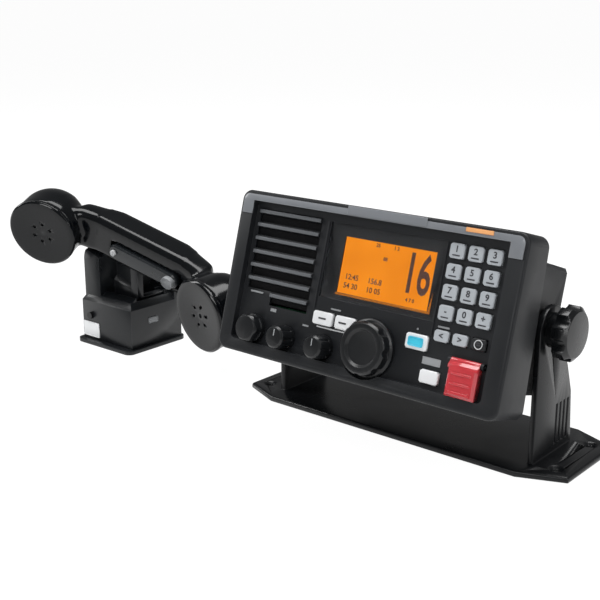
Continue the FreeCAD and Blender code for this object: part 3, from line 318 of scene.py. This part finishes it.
case_plastic = plastic("case_plastic", case_black, case_worn)
dress("front_bezel", case_plastic, edge=case_edge_radius)

# The radio's own frame has X to its right, Y into the panel and Z up the panel. The dial's
# joint gives its direction and its place, and the panel's face is 5 mm behind the rim.
dial_across, dial_up, panel_depth = 0.0129, -0.0314, 0.005
panel_in = Vector(joints["channel_dial_turn"]["axis"])
panel_right = Vector((1, 0, 0))
panel_rise = panel_right.cross(panel_in)
panel_turn = Matrix((panel_right, panel_in, panel_rise)).transposed().to_4x4()
panel_centre = (Vector(joints["channel_dial_turn"]["pos_m"])
                - dial_across * panel_right - dial_up * panel_rise)
panel = Matrix.Translation(panel_centre) @ panel_turn
stand_up = Matrix.Rotation(math.pi / 2, 4, "X")

# The trim: a silver-grey painted strip let into the top of the case. Its middle stands a
# little proud, and a plain orange tab is let into its right half.
trim_grey, trim_worn = (0.135, 0.143, 0.155, 1), (0.35, 0.36, 0.37, 1)
tab_orange = (0.62, 0.30, 0.12, 1)
trim_paint = plastic("trim_paint", trim_grey, trim_worn, gloss=(0.30, 0.42), grain_size=3200.0,
                     grain_depth=0.00001, coat=0.3)
dress("top_trim", trim_paint, edge=0.0002)

# How a thin plate is rounded: its corners in steps, and its edges by a share of its thickness
corner_steps, edge_share = 5, 0.3
edge_angle, smooth_angle = math.radians(60), math.radians(35)


def slab(name, across, up, width, height, front, thickness, corner, body, material,
         sheet=panel):
    """A thin plate on the panel, or on another sheet, with rounded corners and soft edges."""
    bpy.ops.mesh.primitive_cube_add(size=1, calc_uvs=False)
    piece = bpy.context.object
    piece.name = name
    piece.scale = (width, thickness, height)
    bpy.ops.object.transform_apply(location=False, rotation=False, scale=True)
    bpy.ops.object.mode_set(mode="EDIT")
    bpy.ops.mesh.select_all(action="DESELECT")
    bpy.ops.object.mode_set(mode="OBJECT")
    for edge in piece.data.edges:
        ends = [piece.data.vertices[index].co for index in edge.vertices]
        edge.select = abs(ends[0].y - ends[1].y) > thickness / 2
    bpy.ops.object.mode_set(mode="EDIT")
    bpy.ops.mesh.bevel(offset=corner, segments=corner_steps)
    bpy.ops.object.mode_set(mode="OBJECT")
    bevel = piece.modifiers.new("soft_edge", "BEVEL")
    bevel.width, bevel.segments, bevel.angle_limit = thickness * edge_share, edge_steps, edge_angle
    bpy.ops.object.modifier_apply(modifier="soft_edge")
    bpy.ops.object.shade_smooth_by_angle(angle=smooth_angle)
    settle(piece, sheet @ Matrix.Translation((across, front + thickness / 2, up)))
    piece.data.materials.append(material)
    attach(piece, body)
    piece.select_set(False)
    return piece


trim_up, tab_up = 0.0517, 0.0514
centre_pad = slab("trim_centre", across=0.0111, up=trim_up, width=0.060, height=0.0056,
                  front=-0.0007, thickness=0.0005, corner=0.0004, body="radio",
                  material=trim_paint)
tab_material = plastic("tab_orange", tab_orange, tab_orange, gloss=(0.3, 0.4), wear_amount=0.0)
slab("trim_tab", across=0.0776, up=tab_up, width=0.0186, height=0.0026,
     front=-0.0006, thickness=0.0004, corner=0.0004, body="radio", material=tab_material)

# The display: a clear acrylic window over a black border, and behind it a backlit amber
# panel whose dark figures show the working channel, the time and the power in plain numbers.
screen_amber, screen_edge = (0.95, 0.30, 0.018, 1), (0.80, 0.23, 0.014, 1)
screen_unlit, screen_cloud_scale = (0.03, 0.008, 0.001, 1), 30.0
figure_brown = (0.028, 0.005, 0.0008, 1)
window_tint, window_index = (0.98, 0.98, 0.98, 1), 1.08

window_clear, _, shader = new_material("window_clear")
shader.inputs["Base Color"].default_value = window_tint
shader.inputs["Roughness"].default_value = 0.0
shader.inputs["IOR"].default_value = window_index
shader.inputs["Transmission Weight"].default_value = 1.0
dress("display_lens", window_clear, edge=0.0)

backlight, tree, shader = new_material("amber_backlight")
spot = tree.nodes.new("ShaderNodeTexCoord")
clouds = tree.nodes.new("ShaderNodeTexNoise")
clouds.inputs["Scale"].default_value = screen_cloud_scale
tree.links.new(spot.outputs["Object"], clouds.inputs["Vector"])
amber = blend_colours(tree, spread(tree, clouds.outputs["Fac"], 0.0, 1.0), screen_edge,
                      screen_amber)
shader.inputs["Base Color"].default_value = screen_unlit
shader.inputs["Specular IOR Level"].default_value = 0.0
tree.links.new(amber, shader.inputs["Emission Color"])
shader.inputs["Emission Strength"].default_value = 1.0
shader.inputs["Roughness"].default_value = 0.5
dress("lcd_panel", backlight, edge=0.0)

figure_ink = ink("figure_ink", figure_brown, roughness=0.6, glow=0.9)

# Printing: a capital's share of the type size, and the ink's thickness
capital_share, ink_thickness, curve_steps = 0.70, 0.00003, 3


def lettering(name, words, across, up, height, front, body, material, stretch=1.0, bold=0.0):
    """Plain printed figures on the panel, as a thin mesh."""
    bpy.ops.object.text_add()
    piece = bpy.context.object
    piece.name = name
    piece.data.body = words
    piece.data.align_x, piece.data.align_y = "CENTER", "CENTER"
    piece.data.size = height / capital_share
    piece.data.offset = bold
    piece.data.extrude = ink_thickness
    piece.data.resolution_u = curve_steps
    bpy.ops.object.convert(target="MESH")
    piece = bpy.context.object
    stretched = stand_up @ Matrix.Diagonal((stretch, 1, 1, 1))
    settle(piece, panel @ Matrix.Translation((across, front, up)) @ stretched)
    piece.data.materials.append(material)
    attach(piece, body)
    piece.select_set(False)
    return piece


screen_front = 0.0074
top_line, middle_line, clock_line, place_line = 0.0328, 0.0250, 0.0098, 0.0040
left_figures, right_figures, small_figure, large_figure = -0.0120, 0.0060, 0.0022, 0.0034
lettering("channel_figures", "16", across=0.0362, up=0.0185, height=0.0245, front=screen_front,
          body="radio", material=figure_ink, stretch=0.58, bold=0.0006)
for index, (words, across, up, height) in enumerate([
        ("25", 0.0040, top_line, small_figure),
        ("1 2", 0.0180, top_line, small_figure),
        ("88", 0.0110, middle_line, small_figure),
        ("12:45", left_figures, clock_line, large_figure),
        ("156.8", right_figures, clock_line, large_figure),
        ("54 30", left_figures, place_line, large_figure),
        ("10 05", right_figures, place_line, large_figure),
        ("4 7 0", 0.0340, 0.0030, small_figure)]):
    lettering(f"small_figures_{index}", words, across, up, height, screen_front, "radio",
              figure_ink, bold=0.0001)

# The loudspeaker: a pressed paper cone in a steel basket, behind the louvres, with a
# black woven cloth stretched over it to keep spray out. Each louvre's face carries a thin
# strip painted lighter grey than the case. This is a painted highlight for the light that
# the slat's upward slope catches from the overhead box.
cloth_black, cone_black = (0.004, 0.004, 0.004, 1), (0.012, 0.012, 0.013, 1)
# The louvre greys below are a painted highlight for the lit upward slopes of the slats.
louvre_highlight_grey, louvre_highlight_worn = (0.080, 0.085, 0.092, 1), (0.12, 0.125, 0.13, 1)
weave_scale = 1400.0
cone_paper = plastic("cone_paper", cone_black, cone_black, gloss=(0.8, 0.9), wear_amount=0.0)
dress("loudspeaker", cone_paper, edge=0.0)
cloth_weave, tree, shader = new_material("cloth_weave")
spot = tree.nodes.new("ShaderNodeTexCoord")
weave = tree.nodes.new("ShaderNodeTexVoronoi")
weave.inputs["Scale"].default_value = weave_scale
tree.links.new(spot.outputs["Object"], weave.inputs["Vector"])
tree.links.new(blend_colours(tree, weave.outputs["Distance"], cloth_black, cone_black),
               shader.inputs["Base Color"])
shader.inputs["Roughness"].default_value = 0.95
shader.inputs["Specular IOR Level"].default_value = 0.1
grille_across, blade_top, blade_pitch, blade_count = -0.06805, 0.0419, 0.0091, 6
blade_length, short_length, face_height, face_inset = 0.0535, 0.0325, 0.0024, 0.0006
face_front, face_thickness, face_corner = panel_depth - 0.00175, 0.0003, 0.0004
slab("grille_cloth", grille_across, up=0.0140, width=0.0560, height=0.0640, front=0.0070,
     thickness=0.0004, corner=0.001, body="radio", material=cloth_weave)
# The lighter grey of the louvre faces is painted highlight, the light caught by each slat's upward
# slope.
louvre_painted_highlight = plastic("louvre_painted_highlight", louvre_highlight_grey, louvre_highlight_worn, gloss=(0.32, 0.42),
                      grain_depth=0.00001, shine=0.5)
blades = [(str(blade), grille_across, blade_length) for blade in range(blade_count)]
blades.append(("short", grille_across + (blade_length - short_length) / 2, short_length))
for blade, (label, across, length) in enumerate(blades):
    slab(f"louvre_highlight_strip_{label}", across, blade_top - blade * blade_pitch, length - face_inset,
         face_height, face_front, face_thickness, face_corner, "radio", louvre_painted_highlight)

# The keys: fourteen pale grey silicone pads with dark numbers, a dark one with a pale ring,
# four white hard keys, one of them with a blue-green lit window, and the red distress key.
key_grey, key_grey_worn = (0.30, 0.32, 0.34, 1), (0.55, 0.57, 0.58, 1)
key_white, key_white_worn = (0.62, 0.63, 0.64, 1), (0.82, 0.83, 0.84, 1)
key_cyan, key_cyan_worn = (0.05, 0.45, 0.60, 1), (0.2, 0.6, 0.7, 1)
key_black, key_black_worn = (0.010, 0.011, 0.012, 1), (0.05, 0.05, 0.055, 1)
distress_colour, distress_worn = (0.30, 0.012, 0.012, 1), (0.5, 0.1, 0.1, 1)
key_silicone = plastic("key_silicone", key_grey, key_grey_worn, gloss=(0.45, 0.6),
                       grain_depth=0.00002, wear_amount=0.3)
key_dark = plastic("key_dark", key_black, key_black_worn, gloss=(0.35, 0.5))
key_hard = plastic("key_hard", key_white, key_white_worn, gloss=(0.25, 0.35),
                   grain_depth=0.00001, wear_amount=0.2, coat=0.3)
key_lit = plastic("key_lit", key_cyan, key_cyan_worn, gloss=(0.2, 0.3),
                  grain_depth=0.00001, wear_amount=0.2, coat=0.4)
legend_ink = ink("legend_ink", (0.03, 0.03, 0.035, 1), roughness=0.5)
mark_white = ink("mark_white", (0.55, 0.56, 0.57, 1), roughness=0.5)

# How far the keys stand proud of the panel, and what is on a key stands proud of its face
key_face = panel_depth - 0.0018
legend_proud, underline_proud, mark_proud, window_proud = 0.00004, 0.00008, 0.0001, 0.0003
key_left, key_across_pitch, key_top, key_up_pitch = 0.0627, 0.01285, 0.038, 0.0125
last_row, last_row_up, legend_rise, legend_height = 4, -0.0135, 0.0010, 0.0038
underline_drop = 0.0027
key_numbers = ["1", "2", "3", "4", "5", "6", "7", "8", "9", "-", "0", "+", "<", ">", "="]
for index, words in enumerate(key_numbers):
    node = f"key_{index + 1}"
    line, column = divmod(index, 3)
    dress(node, key_dark if node == "key_15" else key_silicone, edge=0.0)
    across = key_left + column * key_across_pitch
    up = last_row_up if line == last_row else key_top - line * key_up_pitch
    rise = legend_rise if line < last_row else 0.0
    lettering(f"{node}_legend", words, across, up + rise, legend_height,
              key_face - legend_proud, node, legend_ink, bold=0.00015)
    if line < last_row:
        slab(f"{node}_underline", across, up - underline_drop, width=0.0052, height=0.0008,
             front=key_face - underline_proud, thickness=0.00014, corner=0.0002, body=node,
             material=legend_ink)
for node in ("soft_key_left", "soft_key_right", "scan_key", "call_key"):
    dress(node, key_hard, edge=0.0)
for node, across in (("soft_key_left", -0.0264), ("soft_key_right", -0.0100)):
    slab(f"{node}_mark", across, up=-0.0198, width=0.0060, height=0.0011,
         front=key_face - mark_proud, thickness=0.0002, corner=0.0003, body=node,
         material=legend_ink)
slab("call_key_window", across=0.0463, up=-0.0202, width=0.0105, height=0.0058,
     front=key_face - window_proud, thickness=0.0004, corner=0.0012, body="call_key",
     material=key_lit)
bpy.ops.mesh.primitive_torus_add(major_radius=0.0026, minor_radius=0.0003, major_segments=32,
                                 minor_segments=8)
key_ring = bpy.context.object
key_ring.name = "key_15_ring"
ring_spot = Matrix.Translation((key_left + 2 * key_across_pitch, key_face, last_row_up))
settle(key_ring, panel @ ring_spot @ stand_up)
key_ring.data.materials.append(mark_white)
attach(key_ring, "key_15")
key_ring.select_set(False)

# Printed marks on the panel, as bare bars: one box over the lower white key, and short
# strips beside the knobs, under the soft keys and over the keypad's last row. Each row of
# the list gives its place across and up, its width, its height and its ink.
mark_grey = ink("mark_grey", (0.26, 0.27, 0.28, 1), roughness=0.6)
printed, print_thickness, print_corner = panel_depth - 0.00006, 0.0001, 0.0003
for index, (across, up, width, height, colour) in enumerate([
        (0.0586, -0.0299, 0.0130, 0.0046, mark_grey),
        (-0.0185, -0.0256, 0.0250, 0.0009, mark_white),
        (-0.0180, -0.0125, 0.0080, 0.0010, mark_grey),
        (0.0627, -0.0082, 0.0080, 0.0011, mark_grey),
        (-0.0860, -0.0125, 0.0110, 0.0012, mark_grey),
        (-0.0690, -0.0222, 0.0050, 0.0022, mark_grey),
        (-0.0400, -0.0270, 0.0050, 0.0012, mark_grey),
        (0.0450, -0.0125, 0.0012, 0.0012, mark_grey)]):
    slab(f"printed_mark_{index}", across, up, width, height, printed, print_thickness,
         print_corner, "radio", colour)
dress("distress_key", plastic("distress_red", distress_colour, distress_worn), edge=0.0)

# The rotary controls: ribbed soft-touch knobs pushed on to their shafts, the two small
# ones each with a pale pointer, and the large dial with its dished face.
knob_black, knob_worn = (0.0040, 0.0046, 0.0054, 1), (0.045, 0.048, 0.052, 1)
steel_plate, steel_worn = (0.45, 0.45, 0.46, 1), (0.7, 0.7, 0.7, 1)
knob_touch = plastic("knob_touch", knob_black, knob_worn, gloss=(0.24, 0.36), wear_amount=0.9,
                     grain_depth=0.00001, shine=0.4)
for node in ("channel_dial", "volume_knob", "squelch_knob"):
    dress(node, knob_touch, edge=0.0004)
plated = plastic("plated_steel", steel_plate, steel_worn, gloss=(0.25, 0.4), metallic=1.0,
                 wear_amount=0.2)
for node in ("dial_shaft", "volume_shaft", "squelch_shaft", "rotary_controls",
             "distress_hinge_pin", "case_screws", "cradle_screws", "voice_capsules"):
    dress(node, plated, edge=0.0001)

pointer_front, knob_up, pointer_reach = panel_depth - 0.0131, -0.038, 0.0030
for node, body, across in (("volume_knob", "volume", -0.0548),
                           ("squelch_knob", "squelch", -0.0229)):
    slab(f"{node}_pointer", across, knob_up + pointer_reach, width=0.0008, height=0.0045,
         front=pointer_front, thickness=0.0002, corner=0.0002, body=body,
         material=mark_grey)

# The distress cover: a small cloudy red hood on a steel pin, with three ribs on its face.
cover_tint, cover_pale = (0.62, 0.030, 0.042, 1), (0.74, 0.075, 0.090, 1)
cover_red, tree, shader = new_material("cover_red")
fine = put_group(tree, grain, Size=900.0, Smudge_size=60.0)
shade = blend_colours(tree, fine.outputs["Smudge"], cover_tint, cover_pale)
tree.links.new(shade, shader.inputs["Base Color"])
shader.inputs["Roughness"].default_value = 0.18
shader.inputs["Transmission Weight"].default_value = 0.35
shader.inputs["Coat Weight"].default_value = 0.5
dress("distress_cover", cover_red, edge=0.0003)
cover_across, rib_front = 0.0837, panel_depth - 0.0072
for index, (up, height) in enumerate([(-0.0325, 0.0016), (-0.0385, 0.0016), (-0.0440, 0.0022)]):
    slab(f"cover_rib_{index}", cover_across, up, width=0.0140, height=height,
         front=rib_front, thickness=0.0008, corner=0.0006, body="cover",
         material=cover_red)

# The microphone connector: a nickel-plated socket under a black six-sided screw cap.
dress("mic_connector", plated, edge=0.0001)
dress("mic_connector_cap", knob_touch, edge=0.0004)

# The chassis: a die-cast aluminium box in black powder coat, with fins on its back that
# carry the transmitter's heat away, the aerial socket and the gland for the power cable.
coat_black, coat_worn = (0.0075, 0.0082, 0.0094, 1), (0.12, 0.12, 0.13, 1)
rubber_black, rubber_worn = (0.012, 0.012, 0.012, 1), (0.03, 0.03, 0.03, 1)
lacquer_green, lacquer_worn = (0.01, 0.07, 0.03, 1), (0.05, 0.15, 0.08, 1)
powder_coat = plastic("powder_coat", coat_black, coat_worn, gloss=(0.5, 0.62),
                      grain_size=1100.0, grain_depth=0.00008, wear_amount=0.35)
dress("chassis", powder_coat, edge=0.0005)
seal_rubber = plastic("seal_rubber", rubber_black, rubber_worn, gloss=(0.7, 0.85),
                      wear_amount=0.2)
for node in ("front_seal", "pivot_washers", "power_cable_gland", "handset_cord_inlet"):
    dress(node, seal_rubber, edge=0.0003)
dress("antenna_socket", plated, edge=0.0002)
board_green = plastic("board_green", lacquer_green, lacquer_worn, gloss=(0.3, 0.4),
                      wear_amount=0.2)
for node in ("panel_circuit_board", "transceiver_board"):
    dress(node, board_green, edge=0.0)

# The bracket: one folded steel plate in satin black, and two lobed plastic knobs whose
# studs screw into the sides of the chassis and hold the radio at its angle.
satin_black, satin_worn = (0.0045, 0.0050, 0.0058, 1), (0.10, 0.10, 0.11, 1)
lobe_black, lobe_worn = (0.0035, 0.0040, 0.0046, 1), (0.04, 0.043, 0.046, 1)
bracket_coat = plastic("bracket_coat", satin_black, satin_worn, gloss=(0.24, 0.36),
                       grain_size=1400.0, grain_depth=0.00003, wear_amount=0.4)
dress("bracket", bracket_coat, edge=0.0006)
grip_black = plastic("grip_black", lobe_black, lobe_worn, gloss=(0.22, 0.34),
                     wear_amount=0.9, shine=0.4)
for node in ("left_bracket_knob", "right_bracket_knob"):
    dress(node, grip_black, edge=0.0008)

# The cradle: a moulded tray with bevelled rims and a tall arm, screwed down through its
# floor, with the hook lever that the resting handset holds down.
cradle_black, cradle_worn = (0.0055, 0.0065, 0.0078, 1), (0.050, 0.055, 0.060, 1)
tray_black = plastic("tray_black", cradle_black, cradle_worn, gloss=(0.26, 0.38),
                     wear_amount=0.9, shine=0.4)
for node in ("cradle_body", "cradle_base_plate", "hook_lever", "hook_switch"):
    dress(node, tray_black, edge=0.0007)

# The handset: two shells screwed together along a seam, with a round cap at each end and
# a long talk bar in the inner face of the handle. The scene draws both shells as one skin:
# joined, remeshed, smoothed, blended where the handle meets the cups, and with a pocket cut
# for the talk bar. Its sheet has Y into the handle's face and Z the way that it lifts.
handset_black, handset_worn = (0.0016, 0.0021, 0.0028, 1), (0.016, 0.019, 0.022, 1)
handset_satin = plastic("handset_satin", handset_black, handset_worn, gloss=(0.10, 0.18),
                        grain_depth=0.000002, wear_amount=0.3, shine=0.3)
hand_in, hand_up = (Vector(joints[name]["axis"]) for name in ("talk_bar_press", "handset_lift"))
hand_middle = Vector((-0.2612, -0.0168, 0.0784))
hand_turn = Matrix((hand_in.cross(hand_up), hand_in, hand_up)).transposed().to_4x4()
hand_sheet = Matrix.Translation(hand_middle) @ hand_turn
shell_gap, skin_size, smooth_strength = 0.00002, 0.0011, 0.5
skin_passes, neck_passes, neck_start, neck_end, neck_low = 14, 90, 0.044, 0.080, 0.0
pocket_length, pocket_height, pocket_across, bar_up = 0.0711, 0.0141, 0.009, 0.0010
pocket_front, pocket_floor = -0.020, -0.0041

bpy.ops.object.select_all(action="DESELECT")
shells = []
for node in ("handset_back_shell", "handset_front_shell"):
    shell = nodes[node].copy()
    shell.data = nodes[node].data.copy()
    shell.parent = None
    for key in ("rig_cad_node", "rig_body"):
        del shell[key]
    bpy.context.scene.collection.objects.link(shell)
    shells.append(shell)
for shell in shells:
    shell.select_set(True)
bpy.context.view_layer.objects.active = shells[0]
bpy.ops.object.join()
housing = bpy.context.object
housing.name = "handset_housing"
bpy.ops.object.mode_set(mode="EDIT")
bpy.ops.mesh.select_all(action="SELECT")
bpy.ops.mesh.remove_doubles(threshold=shell_gap)
bpy.ops.object.mode_set(mode="OBJECT")
skin = housing.modifiers.new("one_skin", "REMESH")
skin.mode, skin.voxel_size, skin.use_smooth_shade = "VOXEL", skin_size, True
bpy.ops.object.modifier_apply(modifier="one_skin")
flow = housing.modifiers.new("flowing_neck", "SMOOTH")
flow.factor, flow.iterations = smooth_strength, skin_passes
bpy.ops.object.modifier_apply(modifier="flowing_neck")
neck = housing.vertex_groups.new(name="necks")
from_world = hand_sheet.inverted()
near_neck = []
for vertex in housing.data.vertices:
    place = from_world @ vertex.co
    if neck_start < abs(place.x) < neck_end and place.z > neck_low:
        near_neck.append(vertex.index)
neck.add(near_neck, 1.0, "REPLACE")
flow = housing.modifiers.new("blended_necks", "SMOOTH")
flow.factor, flow.iterations, flow.vertex_group = smooth_strength, neck_passes, "necks"
bpy.ops.object.modifier_apply(modifier="blended_necks")
bpy.ops.mesh.primitive_cube_add(size=1)
cutter = bpy.context.object
cutter.scale = (pocket_length, pocket_floor - pocket_front, pocket_height)
cutter.location = (pocket_across, (pocket_floor + pocket_front) / 2, bar_up)
settle(cutter, hand_sheet)
cut = housing.modifiers.new("talk_bar_pocket", "BOOLEAN")
cut.operation, cut.object, cut.solver = "DIFFERENCE", cutter, "EXACT"
bpy.context.view_layer.objects.active = housing
bpy.ops.object.modifier_apply(modifier="talk_bar_pocket")
bpy.data.objects.remove(cutter)
housing.data.materials.clear()
housing.data.materials.append(handset_satin)
housing.select_set(False)
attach(housing, "handset")
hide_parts("handset_back_shell", "handset_front_shell")
for node in ("earpiece_cap", "mouthpiece_cap"):
    dress(node, handset_satin, edge=0.0005)
bar_grey, bar_worn = (0.010, 0.012, 0.014, 1), (0.06, 0.065, 0.07, 1)
bar_black = plastic("talk_bar_black", bar_grey, bar_worn, gloss=(0.22, 0.32), shine=0.4)
dress("talk_bar", bar_black, edge=0.0004)

# The talk bar's end is printed pale, and a small lamp window sits in its other end.
bar_front = -0.0146
slab("talk_bar_end", across=0.0375, up=bar_up, width=0.0110, height=0.0095, front=bar_front,
     thickness=0.0004, corner=0.0045, body="talk", material=mark_grey, sheet=hand_sheet)
slab("talk_bar_lamp", across=-0.0205, up=bar_up, width=0.0050, height=0.0050, front=bar_front,
     thickness=0.0004, corner=0.0024, body="talk", material=mark_white, sheet=hand_sheet)

# The cradle carries a bare white plate low on its front face with a stud above it, and a
# pale tab on its side.
plate_colour, cradle_middle = (0.74, 0.75, 0.76, 1), -0.3085
plate_white = plastic("plate_white", plate_colour, plate_colour, gloss=(0.4, 0.5),
                      wear_amount=0.0)
cradle_front = Matrix.Translation((cradle_middle, -0.0372, 0.0115))
slab("cradle_plate", across=0, up=0, width=0.0200, height=0.0125, front=-0.0002,
     thickness=0.0004, corner=0.0008, body="mounting", material=plate_white,
     sheet=cradle_front)

bpy.ops.mesh.primitive_cylinder_add(vertices=24, radius=0.0030, depth=0.0024,
                                    location=(cradle_middle, -0.0380, 0.0235),
                                    rotation=(math.pi / 2, 0, 0))
cradle_stud = settle(bpy.context.object)
cradle_stud.name = "cradle_stud"
cradle_stud.data.materials.append(grip_black)
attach(cradle_stud, "mounting")
cradle_stud.select_set(False)
cradle_side = (Matrix.Translation((-0.2578, -0.0130, 0.0240))
               @ Matrix.Rotation(math.pi / 2, 4, "Z"))
slab("cradle_side_tab", across=0, up=0, width=0.0100, height=0.0050, front=-0.0002,
     thickness=0.0004, corner=0.0008, body="mounting", material=mark_grey,
     sheet=cradle_side)
